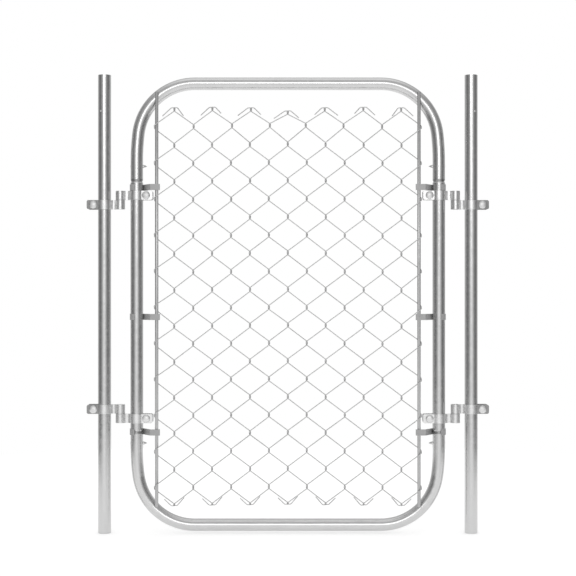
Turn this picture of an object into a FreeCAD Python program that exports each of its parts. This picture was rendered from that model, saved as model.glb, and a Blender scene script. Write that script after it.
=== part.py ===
"""Chain link walk gate between its two posts, at real size, in millimetres.

The origin is the centre of the hinge post's foot, +X runs to the keeper post, +Y away from
the viewer and +Z up. The gate is a frame of two bent tubes (bows) and two straight stiles,
filled with woven chain link that hooks round a tension bar on each side. Formed strap clamps
grip the tubes. On the hinge side, pins in the post clamps carry the eyes of the frame clamps.
"""
import FreeCAD, Part
import math
import os

import Sketcher

# Driving sizes: alias, value, what it is. Lengths are in mm and angles in degrees.
SIZES = [
    ("post_diameter", 34.9, "outside of the posts, 1 3/8 in tube"),
    ("stile_diameter", 34.2, "outside of the straight sides of the frame"),
    ("bow_diameter", 33.4, "outside of the bent top and bottom of the frame"),
    ("tube_wall", 1.65, "wall of every tube"),
    ("post_length", 1228.5, "foot to top of a post"),
    ("post_to_pivot", 42.4, "post centre to the eyes beside it"),
    ("pivot_to_stile", 44.2, "eyes to the stile centre"),
    ("frame_width", 810.7, "stile centre to stile centre"),
    ("rail_height", 22, "centre of the bottom rail above the ground"),
    ("frame_rise", 1183.8, "bottom rail centre to top rail centre"),
    ("bend_radius", 152, "centre line of the bows' corners"),
    ("corner_inset", 3.2, "how far a bow's legs lean in from its ends to its corners"),
    ("lower_leg", 250.4, "bottom rail centre up to the seam at the bottom bow's ends"),
    ("upper_leg", 261.9, "top rail centre down to the seam at the top bow's ends"),
    ("bow_end_taper", 1.1, "how far a bow's cut end draws in"),
    ("bow_end_length", 4, "length of the drawn in end of a bow"),
    ("neck_length", 55, "reduced end of a stile inside a bow"),
    ("neck_bare", 1.5, "reduced end that shows at a seam"),
    ("neck_shoulder", 3, "length of the cone from neck to full stile"),
    ("neck_gap", 0.1, "radial gap between neck and bow"),
    ("strap_thickness", 3, "steel of the clamps"),
    ("strap_height", 24.5, "height of a clamp"),
    ("strap_gap", 0.1, "radial gap between clamp and tube"),
    ("leaf_gap", 0.4, "slit between the two leaves of a clamp's neck"),
    ("eye_diameter", 25.4, "outside of a clamp's rolled eye"),
    ("neck_fillet", 5, "bend where a clamp's neck meets its eye and its tube"),
    ("ear_opening", 24, "between the two ears of a clamp"),
    ("ear_fillet", 1.5, "bend where an ear leaves the tube"),
    ("ear_corner", 5, "rounded corners of an ear"),
    ("post_ear_reach", 46, "post centre to the end of its clamp's ears"),
    ("post_bolt_reach", 28.5, "post centre to its clamp's bolt"),
    ("frame_ear_reach", 43.5, "stile centre to the end of its clamp's ears"),
    ("frame_bolt_reach", 26, "stile centre to its clamp's bolt"),
    ("bolt_diameter", 9.5, "shank of the carriage bolts"),
    ("bolt_hole_play", 0.2, "gap between bolt and hole on each side"),
    ("bolt_head_diameter", 21.5, "domed head of the carriage bolts"),
    ("bolt_head_rise", 4.8, "height of the domed head"),
    ("nut_flats", 14.3, "nut across its flats"),
    ("nut_depth", 8, "thickness of the nut"),
    ("bolt_tail", 3, "thread that stands past the nut"),
    ("upper_hinge_drop", 50.8, "upper seam down to the gap between the upper eyes"),
    ("lower_hinge_rise", 48, "lower seam up to the gap between the lower eyes"),
    ("hinge_gap", 0.5, "upright gap between two eyes on the hinge side"),
    ("keeper_gap", 0.8, "upright gap between two eyes on the keeper side"),
    ("pin_seat_gap", 0.1, "radial gap between a pin and the clamp that holds it"),
    ("pin_play", 0.3, "radial gap between a pin and the eye that turns on it"),
    ("pin_recess", 1, "how far a pin ends inside the turning eye"),
    ("pin_chamfer", 1.2, "bevel on the free end of a pin"),
    ("bar_width", 9, "tension bar seen from the front"),
    ("bar_thickness", 4.8, "tension bar from front to back"),
    ("bar_rounding", 2, "rounded edges of a tension bar"),
    ("bar_inset", 55.1, "stile centre to tension bar centre"),
    ("bar_foot_rise", 50, "bottom rail centre up to the end of a tension bar"),
    ("bar_top_drop", 23.7, "top rail centre down to the end of a tension bar"),
    ("bar_stand_off", 0.4, "gap between a bar and the bow behind it"),
    ("clip_thickness", 1.6, "steel of the tension clips"),
    ("clip_height", 16.4, "height of a tension clip"),
    ("clip_lip_angle", 16, "the clip's lip ends this far short of the front of the tube"),
    ("clip_gap", 0.1, "radial gap between clip and stile"),
    ("clip_bar_gap", 0.3, "gap between a clip's hook and the front of the bar"),
    ("clip_hook_start", 16.85, "bar centre to the bend where the hook starts"),
    ("clip_hook_end", 8.6, "bar centre to the far side of the hook"),
    ("clip_hook_depth", 5, "length of the hook's return beside the bar"),
    ("lower_clip_drop", 0.3, "lower seam down to the middle of the lower clips"),
    ("middle_clip_drop", 28, "half way between the seams down to the middle clips"),
    ("upper_clip_drop", 16.9, "upper seam down to the middle of the upper clips"),
    ("screw_diameter", 8.5, "screws that pin the bows to the stiles"),
    ("screw_gap", 0.1, "radial gap between screw and tube"),
    ("screw_past_tube", 11, "screw tip beyond the inner side of the frame"),
    ("screw_point", 10, "length of the cone at the tip of a screw"),
    ("upper_screw_rise", 40, "upper seam up to the screw"),
    ("lower_screw_drop", 31, "lower seam down to the screw"),
    ("wire_diameter", 2.6, "chain link wire, across corners"),
    ("link_gap", 0.3, "gap between two wires where they hook"),
    ("column_outset", 3.7, "outermost columns of links beyond the bar centres"),
    ("diamond_width", 101.6, "width of a diamond, from which the number of wires follows"),
    ("diamond_height", 96.35, "height of a diamond, from which the number of rows follows"),
    ("mesh_foot_rise", 54.3, "bottom rail centre up to the lowest row of links"),
    ("mesh_head_drop", 69.6, "top rail centre down to the highest row of links"),
    ("link_rise", 4, "half the upright run of a wire at a link"),
    ("bar_wrap_gap", 0.8, "gap between a wire and the flat side of the bar that it wraps"),
    ("knuckle_gap", 0.15, "how much deeper a wire lies where it is bent over at its end"),
    ("knuckle_flat", 8, "level run of a bent over end"),
    ("tail_reach", 19, "sideways length of the slanting tail of a bent over end"),
    ("tail_drop", 19.5, "height of the slanting tail of a bent over end"),
]
WIRE_SIDES = 6
# Two places or lengths that differ by less than this are the same.
NEAR = 0.01

doc = FreeCAD.newDocument("chain_link_gate")
sheet = doc.addObject("Spreadsheet::Sheet", "Sizes")
for row, (alias, number, meaning) in enumerate(SIZES, start=1):
    sheet.set(f"A{row}", alias)
    sheet.set(f"B{row}", str(number))
    sheet.set(f"C{row}", meaning)
    sheet.setAlias(f"B{row}", alias)
doc.recompute()

Vector = FreeCAD.Vector
nodes = []

# The codes by which a sketch constraint names the points of an edge, counted from 1.
START, END, CENTRE = range(1, 4)
# The codes of a sketch's own origin.
ORIGIN = (-1, 1)


def cells(expression):
    """Write each size's alias in an expression as a reference to its cell."""
    words = "".join(c if c.isalnum() or c == "_" else " " for c in expression).split()
    aliases = {alias for alias, _, _ in SIZES}
    for word in sorted(set(words) & aliases, key=len, reverse=True):
        expression = replace_word(expression, word, f"Sizes.{word}")
    return expression


def replace_word(text, word, new):
    """Replace a whole word that isn't already a reference."""
    out, i = "", 0
    while i < len(text):
        before = text[i - 1] if i else " "
        after = text[i + len(word)] if i + len(word) < len(text) else " "
        whole = not (before.isalnum() or before in "_.") and not (after.isalnum() or after == "_")
        if text.startswith(word, i) and whole:
            out += new
            i += len(word)
        else:
            out += text[i]
            i += 1
    return out


def value(expression):
    """The number that an expression of sizes gives now."""
    return float(sheet.evalExpression(cells(str(expression))))


def bind(thing, prop, expression):
    """Bind a property to an expression of sizes."""
    thing.setExpression(prop, cells(str(expression)))


# Positions that several pieces share, as expressions of the sizes.
HINGE_STILE_X = "(post_to_pivot + pivot_to_stile)"
KEEPER_STILE_X = f"({HINGE_STILE_X} + frame_width)"
KEEPER_PIVOT_X = f"({KEEPER_STILE_X} + pivot_to_stile)"
KEEPER_POST_X = f"({KEEPER_PIVOT_X} + post_to_pivot)"
HINGE_BAR_X = f"({HINGE_STILE_X} + bar_inset)"
KEEPER_BAR_X = f"({KEEPER_STILE_X} - bar_inset)"
BAR_Y = "(-bow_diameter / 2 - bar_stand_off - bar_thickness / 2)"
NECK_RADIUS = "(bow_diameter / 2 - tube_wall - neck_gap)"
EYE_BORE = "(eye_diameter / 2 - strap_thickness)"
EAR_FACE = "(ear_opening / 2 + strap_thickness)"
LOWER_SEAM = "(rail_height + lower_leg)"
UPPER_SEAM = "(rail_height + frame_rise - upper_leg)"
EYES_Z = {
    "upper": f"({UPPER_SEAM} - upper_hinge_drop)",
    "lower": f"({LOWER_SEAM} + lower_hinge_rise)",
}
CLIP_Z = {
    "lower": f"({LOWER_SEAM} - lower_clip_drop)",
    "middle": f"(({LOWER_SEAM} + {UPPER_SEAM}) / 2 - middle_clip_drop)",
    "upper": f"({UPPER_SEAM} - upper_clip_drop)",
}
UPPER_SCREW_Z = f"({UPPER_SEAM} + upper_screw_rise)"
LOWER_SCREW_Z = f"({LOWER_SEAM} - lower_screw_drop)"


def new_body(label, x=0, y=0, z=0, rotation=None):
    """A body whose place is bound to the sizes."""
    body = doc.addObject("PartDesign::Body", label)
    body.Label = label
    if rotation is not None:
        body.Placement = FreeCAD.Placement(Vector(), rotation)
    for axis, place in zip("xyz", (x, y, z)):
        bind(body, f"Placement.Base.{axis}", place)
    nodes.append(body)
    return body


def new_sketch(body, name, role, offset=0):
    """A sketch on one of the body's own planes, moved along the plane's normal."""
    sketch = body.newObject("Sketcher::SketchObject", f"{body.Name}_{name}")
    plane = next(f for f in body.Origin.OriginFeatures if f.Role == role)
    sketch.AttachmentSupport = (plane, [""])
    sketch.MapMode = "FlatFace"
    bind(sketch, "AttachmentOffset.Base.z", offset)
    return sketch


def pin_point(sketch, edge, point, x=None, y=None):
    """Fix a point of a sketch edge by its distances from the sketch's origin."""
    for kind, place in (("DistanceX", x), ("DistanceY", y)):
        if place is not None:
            constraint = Sketcher.Constraint(kind, *ORIGIN, edge, point, value(place))
            bind(sketch, f"Constraints[{sketch.addConstraint(constraint)}]", place)


def add_circle(sketch, x, y, radius):
    """A circle with its centre and radius bound to the sizes."""
    centre = Vector(value(x), value(y), 0)
    edge = sketch.addGeometry(Part.Circle(centre, Vector(0, 0, 1), value(radius)))
    pin_point(sketch, edge, CENTRE, x, y)
    constraint = Sketcher.Constraint("Radius", edge, value(radius))
    bind(sketch, f"Constraints[{sketch.addConstraint(constraint)}]", radius)


def add_outline(sketch, corners):
    """A closed outline of straight edges with every corner bound to the sizes."""
    points = [Vector(value(x), value(y), 0) for x, y in corners]
    edges = []
    for start, end in zip(points, points[1:] + points[:1]):
        edges.append(sketch.addGeometry(Part.LineSegment(start, end)))
    join_in_turn(sketch, edges + edges[:1])
    for edge, (x, y) in zip(edges, corners):
        pin_point(sketch, edge, START, x, y)


def join_in_turn(sketch, edges):
    """Let each edge start where the one before it ends."""
    for here, after in zip(edges, edges[1:]):
        sketch.addConstraint(Sketcher.Constraint("Coincident", here, END, after, START))


def add_box(sketch, x0, x1, y0, y1):
    """A rectangle between two x and two y places."""
    add_outline(sketch, [(x0, y0), (x1, y0), (x1, y1), (x0, y1)])


def pad(body, sketch, length):
    """Extrude a sketch along its normal."""
    feature = body.newObject("PartDesign::Pad", f"{sketch.Name}_pad")
    feature.Profile = sketch
    bind(feature, "Length", length)
    return feature


def cut_through(body, sketch):
    """Cut a sketch through the whole body, both ways."""
    feature = body.newObject("PartDesign::Pocket", f"{sketch.Name}_cut")
    feature.Profile = sketch
    feature.Type = "ThroughAll"
    feature.SideType = "Symmetric"
    return feature


def revolve(body, sketch, axis="V_Axis"):
    """Turn a sketch once round one of its own axes."""
    feature = body.newObject("PartDesign::Revolution", f"{sketch.Name}_turned")
    feature.Profile = sketch
    feature.ReferenceAxis = (sketch, [axis])
    feature.Angle = 360
    return feature


def fillet(body, feature, radius, wanted):
    """Round the feature's edges for which wanted(edge) is true."""
    doc.recompute()
    names = [f"Edge{i}" for i, edge in enumerate(feature.Shape.Edges, 1) if wanted(edge)]
    rounding = body.newObject("PartDesign::Fillet", f"{feature.Name}_rounded")
    rounding.Base = (feature, names)
    bind(rounding, "Radius", radius)
    return rounding


def runs_along(edge, direction):
    """True for a straight edge that is parallel to a direction."""
    if edge.Curve.TypeId != "Part::GeomLine":
        return False
    return abs(abs(edge.Curve.Direction.dot(direction)) - 1) < 1e-6


def make_post(label, x):
    """A round tube from the ground to its top, open at both ends."""
    body = new_body(label, x=x)
    ring = new_sketch(body, "ring", "XY_Plane")
    add_circle(ring, 0, 0, "post_diameter / 2")
    add_circle(ring, 0, 0, "post_diameter / 2 - tube_wall")
    pad(body, ring, "post_length")


def make_stile(label, x):
    """A straight side of the frame, with its ends reduced to slide into the bows."""
    body = new_body(label, x=x)
    profile = new_sketch(body, "profile", "XZ_Plane")
    full = "stile_diameter / 2"
    heights = [
        (f"{LOWER_SEAM} - neck_length", NECK_RADIUS),
        (f"{LOWER_SEAM} + neck_bare", NECK_RADIUS),
        (f"{LOWER_SEAM} + neck_bare + neck_shoulder", full),
        (f"{UPPER_SEAM} - neck_bare - neck_shoulder", full),
        (f"{UPPER_SEAM} - neck_bare", NECK_RADIUS),
        (f"{UPPER_SEAM} + neck_length", NECK_RADIUS),
    ]
    outside = [(radius, height) for height, radius in heights]
    inside = [(f"{radius} - tube_wall", height) for height, radius in reversed(heights)]
    add_outline(profile, outside + inside)
    revolve(body, profile)
    holes = new_sketch(body, "holes", "YZ_Plane")
    for height in (UPPER_SCREW_Z, LOWER_SCREW_Z):
        add_circle(holes, 0, height, "screw_diameter / 2 + screw_gap")
    cut_through(body, holes)


def make_bow(label, seam, rise, way, screw):
    """A tube bent twice: up one side, across and down the other, or the same upside down.

    Past the part that grips the stile, each leg leans in on a wide arc that runs into the corner.
    """
    body = new_body(label, x=HINGE_STILE_X, z=seam)
    path = new_sketch(body, "path", "XZ_Plane")
    grip, height = value("neck_length"), value(rise)
    bend, inset = value("bend_radius"), value("corner_inset")
    width = value("frame_width")
    lean = height - bend - grip
    wide = bend + (inset**2 + lean**2) / (2 * inset)
    bend_centre = Vector(inset + bend, way * (height - bend), 0)
    wide_centre = Vector(wide, way * grip, 0)
    meeting = bend_centre + (bend_centre - wide_centre).normalize() * bend
    near = [Vector(), Vector(0, way * grip, 0), meeting, Vector(inset + bend, way * height, 0)]

    def mirrored(point):
        return Vector(width - point.x, point.y, 0)

    def bent(start, end, centre):
        a = math.atan2(start.y - centre.y, start.x - centre.x)
        b = math.atan2(end.y - centre.y, end.x - centre.x)
        if way > 0:
            a, b = b, a
        circle = Part.Circle(centre, Vector(0, 0, 1), (start - centre).Length)
        return Part.ArcOfCircle(circle, a, b)

    corners = near + [mirrored(point) for point in reversed(near)]
    centres = [None, wide_centre, bend_centre]
    centres += [None, mirrored(bend_centre), mirrored(wide_centre), None]
    arc_ends = (END, START) if way > 0 else (START, END)
    edges, codes = [], []
    for start, end, centre in zip(corners, corners[1:], centres):
        line = Part.LineSegment(start, end) if centre is None else bent(start, end, centre)
        edges.append(path.addGeometry(line))
        codes.append((START, END) if centre is None else arc_ends)
    for i in range(len(edges) - 1):
        here, after = (edges[i], codes[i][1]), (edges[i + 1], codes[i + 1][0])
        path.addConstraint(Sketcher.Constraint("Tangent", *here, *after))
    near_leg, near_wide, near_bend, rail, far_bend, far_wide, far_leg = edges
    path.addConstraint(Sketcher.Constraint("Vertical", near_leg))
    path.addConstraint(Sketcher.Constraint("Horizontal", rail))
    path.addConstraint(Sketcher.Constraint("Vertical", far_leg))
    path.addConstraint(Sketcher.Constraint("Equal", near_bend, far_bend))
    path.addConstraint(Sketcher.Constraint("Equal", near_wide, far_wide))
    pin_point(path, near_leg, START, 0, 0)
    pin_point(path, near_leg, END, y=f"{way} * neck_length")
    pin_point(path, rail, START, "corner_inset + bend_radius", f"{way} * ({rise})")
    pin_point(path, far_leg, START, y=f"{way} * neck_length")
    pin_point(path, far_leg, END, "frame_width", 0)
    radius = path.addConstraint(Sketcher.Constraint("Radius", near_bend, bend))
    bind(path, f"Constraints[{radius}]", "bend_radius")
    ring = new_sketch(body, "ring", "XY_Plane")
    add_circle(ring, 0, 0, "bow_diameter / 2")
    add_circle(ring, 0, 0, "bow_diameter / 2 - tube_wall")
    pipe = body.newObject("PartDesign::AdditivePipe", f"{label}_pipe")
    pipe.Profile = ring
    pipe.Spine = (path, [])
    doc.recompute()
    outside = value("bow_diameter / 2")

    def at_cut_end(edge):
        level = abs(edge.CenterOfMass.z) < NEAR
        return level and abs(edge.Length - 2 * math.pi * outside) < NEAR

    names = [f"Edge{i}" for i, edge in enumerate(pipe.Shape.Edges, 1) if at_cut_end(edge)]
    ends = body.newObject("PartDesign::Chamfer", f"{label}_ends")
    ends.Base = (pipe, names)
    ends.ChamferType = "Two distances"
    bind(ends, "Size", "bow_end_length")
    bind(ends, "Size2", "bow_end_taper")
    holes = new_sketch(body, "holes", "YZ_Plane")
    add_circle(holes, 0, f"{way} * {screw}", "screw_diameter / 2 + screw_gap")
    cut_through(body, holes)


def make_clamp(label, tube, pivot, ear_reach, bolt_reach, x, z, turned):
    """A strap folded round an eye and a tube, with two ears for a bolt.

    The tube's centre is the body's origin, the eye lies at -x and the ears at +x.
    """
    rotation = FreeCAD.Rotation(Vector(0, 0, 1), 180 if turned else 0)
    body = new_body(label, x=x, z=z, rotation=rotation)
    wrap = f"({tube} / 2 + strap_gap + strap_thickness)"
    neck = "(strap_thickness + leaf_gap / 2)"
    outlines = {
        "wrap": lambda s: add_circle(s, 0, 0, wrap),
        "leaves": lambda s: add_box(s, f"-{pivot}", 0, f"-{neck}", neck),
        "eye": lambda s: add_circle(s, f"-{pivot}", 0, "eye_diameter / 2"),
        "ears": lambda s: add_box(s, 0, ear_reach, f"-{EAR_FACE}", EAR_FACE),
    }
    for name, draw in outlines.items():
        sketch = new_sketch(body, name, "XY_Plane")
        draw(sketch)
        solid = pad(body, sketch, "strap_height")

    half_neck = value(neck)

    def at_neck(edge):
        upright = runs_along(edge, Vector(0, 0, 1))
        return upright and abs(abs(edge.CenterOfMass.y) - half_neck) < NEAR

    def at_ear(edge):
        upright = runs_along(edge, Vector(0, 0, 1))
        place = edge.CenterOfMass
        beside = abs(abs(place.y) - value(EAR_FACE)) < NEAR
        return upright and beside and place.x < value(ear_reach) - NEAR

    solid = fillet(body, solid, "neck_fillet", at_neck)
    solid = fillet(body, solid, "ear_fillet", at_ear)
    cuts = {
        "tube_bore": lambda s: add_circle(s, 0, 0, f"{tube} / 2 + strap_gap"),
        "eye_bore": lambda s: add_circle(s, f"-{pivot}", 0, EYE_BORE),
        "slit": lambda s: add_box(s, f"-{pivot}", 0, "-leaf_gap / 2", "leaf_gap / 2"),
        "mouth": lambda s: add_box(
            s, 0, f"{ear_reach} + strap_thickness", "-ear_opening / 2", "ear_opening / 2"
        ),
    }
    for name, draw in cuts.items():
        sketch = new_sketch(body, name, "XY_Plane")
        draw(sketch)
        solid = cut_through(body, sketch)

    def at_corner(edge):
        return runs_along(edge, Vector(0, 1, 0)) and edge.CenterOfMass.x > value(bolt_reach)

    fillet(body, solid, "ear_corner", at_corner)
    hole = new_sketch(body, "bolt_hole", "XZ_Plane")
    half = "(bolt_diameter / 2 + bolt_hole_play)"
    middle = "strap_height / 2"
    add_box(
        hole,
        f"{bolt_reach} - {half}",
        f"{bolt_reach} + {half}",
        f"{middle} - {half}",
        f"{middle} + {half}",
    )
    cut_through(body, hole)


def make_bolt(label, x, z):
    """A carriage bolt with its nut, head to the front, square under the head."""
    body = new_body(label, x=x, z=z)
    profile = new_sketch(body, "profile", "XY_Plane")
    head = "bolt_head_diameter / 2"
    shank = "bolt_diameter / 2"
    front = f"-{EAR_FACE}"
    end = f"({EAR_FACE} + nut_depth + bolt_tail)"
    dome_radius = "((bolt_head_diameter / 2) ^ 2 + bolt_head_rise ^ 2) / (2 * bolt_head_rise)"
    top = Vector(0, value(f"{front} - bolt_head_rise"), 0)
    rim = Vector(value(head), value(front), 0)
    centre = Vector(0, top.y + value(dome_radius), 0)
    rim_angle = math.atan2(rim.y - centre.y, rim.x - centre.x)
    circle = Part.Circle(centre, Vector(0, 0, 1), value(dome_radius))
    dome = profile.addGeometry(Part.ArcOfCircle(circle, -math.pi / 2, rim_angle))
    corners = [
        rim,
        Vector(value(shank), value(front), 0),
        Vector(value(shank), value(end), 0),
        Vector(0, value(end), 0),
        top,
    ]
    straight = []
    for start, finish in zip(corners, corners[1:]):
        straight.append(profile.addGeometry(Part.LineSegment(start, finish)))
    join_in_turn(profile, [dome] + straight + [dome])
    underside, side, tail, axis = straight
    pin_point(profile, dome, CENTRE, x=0)
    pin_point(profile, underside, START, head, front)
    pin_point(profile, side, START, shank, front)
    pin_point(profile, tail, START, shank, end)
    pin_point(profile, axis, START, 0, end)
    pin_point(profile, axis, END, 0, f"{front} - bolt_head_rise")
    revolve(body, profile)
    square = new_sketch(body, "square", "XZ_Plane", EAR_FACE)
    add_box(square, f"-{shank}", shank, f"-{shank}", shank)
    pad(body, square, "strap_thickness").Reversed = True
    nut = body.newObject("PartDesign::AdditivePrism", f"{label}_nut")
    nut.Polygon = 6
    nut.Placement = FreeCAD.Placement(Vector(), FreeCAD.Rotation(Vector(1, 0, 0), -90))
    bind(nut, "Circumradius", "nut_flats / sqrt(3)")
    bind(nut, "Height", "nut_depth")
    bind(nut, "Placement.Base.y", EAR_FACE)


def make_pin(label, z, way):
    """A hinge pin: its wide part fills the post clamp's eye, the rest enters the other eye."""
    rotation = FreeCAD.Rotation(Vector(1, 0, 0), 0 if way > 0 else 180)
    body = new_body(label, x="post_to_pivot", z=z, rotation=rotation)
    profile = new_sketch(body, "profile", "XZ_Plane")
    seat = f"({EYE_BORE} - pin_seat_gap)"
    free = f"({EYE_BORE} - pin_play)"
    bottom = "(-hinge_gap / 2 - strap_height)"
    top = "(hinge_gap / 2 + strap_height - pin_recess)"
    corners = [
        (0, bottom),
        (seat, bottom),
        (seat, "-hinge_gap / 2"),
        (free, "-hinge_gap / 2"),
        (free, f"{top} - pin_chamfer"),
        (f"{free} - pin_chamfer", top),
        (0, top),
    ]
    add_outline(profile, corners)
    revolve(body, profile)


def make_bar(label, x):
    """A flat tension bar with rounded edges, in front of the frame."""
    body = new_body(label, x=x, y=BAR_Y, z="rail_height + bar_foot_rise")
    section = new_sketch(body, "section", "XY_Plane")
    add_box(section, "-bar_width / 2", "bar_width / 2", "-bar_thickness / 2", "bar_thickness / 2")
    flat = pad(body, section, "frame_rise - bar_foot_rise - bar_top_drop")
    fillet(body, flat, "bar_rounding", lambda edge: runs_along(edge, Vector(0, 0, 1)))


def make_clip(label, x, z, side):
    """A tension clip: it starts at the front of the stile, runs round its outer side and its
    back, comes forward on a slant and hooks round the front of the tension bar.
    """
    path = doc.addObject("Sketcher::SketchObject", f"{label}_path")
    radius = value("stile_diameter / 2 + clip_gap + clip_thickness / 2")
    plane = f"({BAR_Y} - bar_thickness / 2 - clip_bar_gap - clip_thickness / 2)"
    bend = Vector(value("bar_inset - clip_hook_start"), value(plane), 0)
    far = value("bar_inset + clip_hook_end - clip_thickness / 2")
    reach = math.hypot(bend.x, bend.y)
    leave = math.atan2(bend.y, bend.x) + math.acos(radius / reach)
    start = -math.pi / 2 - math.radians(value("clip_lip_angle"))
    if side > 0:
        arc = (leave, start + 2 * math.pi)
        lip, leaving = END, START
    else:
        arc = (math.pi - start - 2 * math.pi, math.pi - leave)
        lip, leaving = START, END
    circle = Part.Circle(Vector(), Vector(0, 0, 1), radius)
    wrap = path.addGeometry(Part.ArcOfCircle(circle, *arc))
    depth = value("clip_hook_depth")
    points = [
        Vector(side * radius * math.cos(leave), radius * math.sin(leave), 0),
        Vector(side * bend.x, bend.y, 0),
        Vector(side * far, bend.y, 0),
        Vector(side * far, bend.y + depth, 0),
    ]
    straight = []
    for first, second in zip(points, points[1:]):
        straight.append(path.addGeometry(Part.LineSegment(first, second)))
    slant, front, hook = straight
    path.addConstraint(Sketcher.Constraint("Tangent", wrap, leaving, slant, START))
    join_in_turn(path, straight)
    path.addConstraint(Sketcher.Constraint("Coincident", wrap, CENTRE, *ORIGIN))
    size = path.addConstraint(Sketcher.Constraint("Radius", wrap, radius))
    bind(path, f"Constraints[{size}]", "stile_diameter / 2 + clip_gap + clip_thickness / 2")
    lip_x = "-(stile_diameter / 2 + clip_gap + clip_thickness / 2) * sin(clip_lip_angle * 1 deg)"
    far_x = f"{side} * (bar_inset + clip_hook_end - clip_thickness / 2)"
    pin_point(path, wrap, lip, x=f"{side} * ({lip_x})")
    pin_point(path, slant, END, f"{side} * (bar_inset - clip_hook_start)", plane)
    pin_point(path, front, END, far_x, plane)
    pin_point(path, hook, END, far_x, f"{plane} + clip_hook_depth")
    strap = doc.addObject("Part::Offset2D", f"{label}_strap")
    strap.Source = path
    strap.Join = 0
    strap.Fill = False
    bind(strap, "Value", "clip_thickness / 2")
    clip = doc.addObject("Part::Extrusion", label)
    clip.Label = label
    clip.Base = strap
    clip.DirMode = "Normal"
    clip.Solid = True
    bind(clip, "LengthFwd", "clip_height")
    bind(clip, "Placement.Base.x", x)
    bind(clip, "Placement.Base.z", f"{z} - clip_height / 2")
    nodes.append(clip)


def make_screw(label, x, z, side):
    """A screw through bow and stile end, its point towards the middle of the gate."""
    rotation = FreeCAD.Rotation(Vector(0, 0, 1), 0 if side > 0 else 180)
    body = new_body(label, x=x, z=z, rotation=rotation)
    profile = new_sketch(body, "profile", "XZ_Plane")
    tip = "(bow_diameter / 2 + screw_past_tube)"
    corners = [
        ("-bow_diameter / 2", 0),
        (tip, 0),
        (f"{tip} - screw_point", "screw_diameter / 2"),
        ("-bow_diameter / 2", "screw_diameter / 2"),
    ]
    add_outline(profile, corners)
    revolve(body, profile, "H_Axis")


def round_wire(points, radius):
    """A solid wire of few flat sides along straight runs, mitred at every bend."""
    runs = [(b - a).normalize() for a, b in zip(points, points[1:])]
    side = runs[0].cross(Vector(0, 1, 0)).normalize()
    other = runs[0].cross(side)
    ring = []
    for k in range(WIRE_SIDES):
        angle = 2 * math.pi * (k + 0.5) / WIRE_SIDES
        ring.append(points[0] + (side * math.cos(angle) + other * math.sin(angle)) * radius)
    rings = [ring]
    for i, run in enumerate(runs):
        bisector = run + runs[min(i + 1, len(runs) - 1)]
        corner = points[i + 1]
        rings.append([p + run * ((corner - p).dot(bisector) / run.dot(bisector)) for p in rings[-1]])
    faces = [Part.Face(Part.makePolygon(ring + ring[:1])) for ring in (rings[0], rings[-1])]
    for low, high in zip(rings, rings[1:]):
        for k in range(WIRE_SIDES):
            after = (k + 1) % WIRE_SIDES
            quad = [low[k], low[after], high[after], high[k], low[k]]
            faces.append(Part.Face(Part.makePolygon(quad)))
    solid = Part.makeSolid(Part.makeShell(faces))
    if solid.Volume < 0:
        solid.reverse()
    return solid


def wire_route(number, wires, sizes):
    """The centre line of one wire of the mesh, bottom to top.

    Each wire zigzags between two columns: runs to the right lie in front, runs to the left
    behind, so that each bend hooks round the bend of the next wire. At the odd columns the
    ends of two wires are bent over each other in a knuckle.
    """
    left, right = sizes["columns"][number], sizes["columns"][number + 1]
    knuckle_right = number % 2 == 0
    pitch, foot = sizes["pitch"], sizes["foot"]
    bends = []
    for level in range(2 * sizes["rows"] + 1):
        at_right = (level % 2 == 0) == knuckle_right
        bends.append((at_right, foot + level * pitch / 2))
    route = []
    for level, (at_right, height) in enumerate(bends):
        wraps_bar = (number == 0 and not at_right) or (number == wires - 1 and at_right)
        depth = sizes["wrap_depth"] if wraps_bar else sizes["depth"]
        x = right + sizes["hook"] if at_right else left - sizes["hook"]
        if wraps_bar:
            x = sizes["wrap_right"] if at_right else sizes["wrap_left"]
        below = -depth if at_right else depth
        inward = -1 if at_right else 1
        low = Vector(x, below, height - sizes["rise"])
        high = Vector(x, -below, height + sizes["rise"])
        if level == 0:
            low.y += inward * sizes["deeper"]
            route += reversed(bent_end(low, inward, 1, sizes))
        route += [low, high]
        if level == len(bends) - 1:
            high.y -= inward * sizes["deeper"]
            route += bent_end(high, inward, -1, sizes)
    return route


def bent_end(corner, inward, way, sizes):
    """The two corners past the last link of a wire: a level run, then a slanting tail."""
    flat_end = corner + Vector(inward * sizes["flat"], 0, 0)
    return [flat_end, flat_end + Vector(inward * sizes["tail"], 0, way * sizes["drop"])]


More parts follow.
